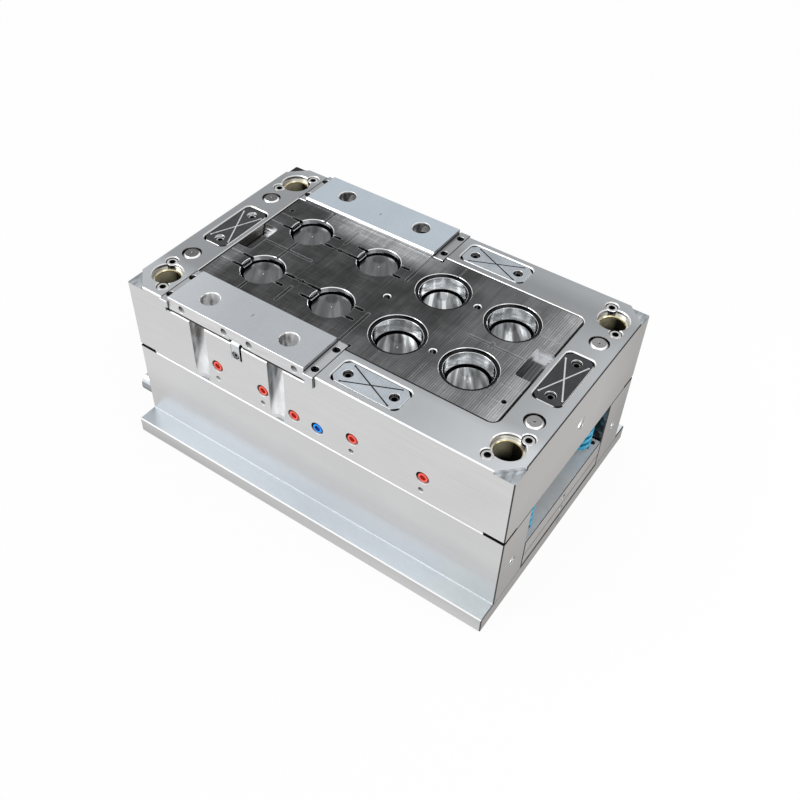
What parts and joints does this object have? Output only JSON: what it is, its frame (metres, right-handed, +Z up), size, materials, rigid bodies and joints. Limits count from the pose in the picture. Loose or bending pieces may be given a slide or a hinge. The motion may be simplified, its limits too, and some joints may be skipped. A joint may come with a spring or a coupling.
{
  "type": "injection mould half",
  "caption": "Moving half of a pipe fitting injection mould with two side slides, a sprung ejector box and coloured water plugs.",
  "frame": {"origin": "centre of the knock-out hole, on the underside of the clamp plate", "axes": "+Z up to the parting face, +X along the mould base towards the end with the lifting hole in view, -Y towards the side with the water ports"},
  "size_m": [0.527, 0.35, 0.2305],
  "materials": {
    "plate_steel": "ground plate steel",
    "insert_steel": "dark milled tool steel",
    "slide_steel": "fine ground tool steel",
    "polished_steel": "mirror polished",
    "wear_steel": "hardened, with oil grooves",
    "bush_steel": "hardened and oiled",
    "screw_steel": "satin",
    "spring_blue": "gloss paint",
    "plug_red": "gloss",
    "plug_blue": "gloss"
  },
  "bodies": {
    "base": {"clamp_plate": "plate_steel", "spacer_front": "plate_steel", "spacer_back": "plate_steel", "moving_plate": "plate_steel", "core_insert": "insert_steel", "cap_core_1": "polished_steel", "cap_core_2": "polished_steel", "cap_core_3": "polished_steel", "cap_core_4": "polished_steel", "clip_core_1": "polished_steel", "clip_core_2": "polished_steel", "clip_core_3": "polished_steel", "clip_core_4": "polished_steel", "gib_front_left": "slide_steel", "gib_front_right": "slide_steel", "gib_back_left": "slide_steel", "gib_back_right": "slide_steel", "slide_stop_front": "plate_steel", "slide_stop_back": "plate_steel", "wear_plate_left": "wear_steel", "wear_plate_right": "wear_steel", "wear_plate_front": "wear_steel", "wear_plate_back": "wear_steel", "guide_bush_1": "bush_steel", "guide_bush_2": "bush_steel", "guide_bush_3": "bush_steel", "guide_bush_4": "bush_steel", "support_pillar_1": "plate_steel", "support_pillar_2": "plate_steel", "support_pillar_3": "plate_steel", "support_pillar_4": "plate_steel", "rest_buttons": "plate_steel", "water_plugs_red": "plug_red", "water_plug_blue": "plug_blue", "foot_peg_front": "polished_steel", "foot_peg_back": "polished_steel", "bush_screws": "screw_steel", "gib_screws": "screw_steel", "wear_plate_screws": "screw_steel", "stop_screws": "screw_steel", "base_screws": "screw_steel", "insert_screws": "screw_steel", "core_screws": "screw_steel"},
    "front_slide": {"slide_front": "slide_steel"},
    "back_slide": {"slide_back": "slide_steel"},
    "ejector": {"ejector_retainer_plate": "plate_steel", "ejector_base_plate": "plate_steel", "ejector_plate_screws": "screw_steel", "return_pin_1": "polished_steel", "return_pin_2": "polished_steel", "return_pin_3": "polished_steel", "return_pin_4": "polished_steel", "return_spring_1": "spring_blue", "return_spring_2": "spring_blue", "return_spring_3": "spring_blue", "return_spring_4": "spring_blue", "ejector_sleeves": "polished_steel", "ejector_pins": "polished_steel"}
  },
  "joints": [
    {"name": "slide_front_slide", "type": "slide", "parent": "base", "child": "front_slide", "axis": [0, -1, 0], "range_m": [0, 0.015]},
    {"name": "slide_back_slide", "type": "slide", "parent": "base", "child": "back_slide", "axis": [0, 1, 0], "range_m": [0, 0.015]},
    {"name": "ejector_slide", "type": "slide", "parent": "base", "child": "ejector", "axis": [0, 0, 1], "range_m": [0, 0.035], "stiffness_N_per_m": 60000, "springref_m": -0.014, "deforming": ["return_spring_1", "return_spring_2", "return_spring_3", "return_spring_4"]}
  ]
}
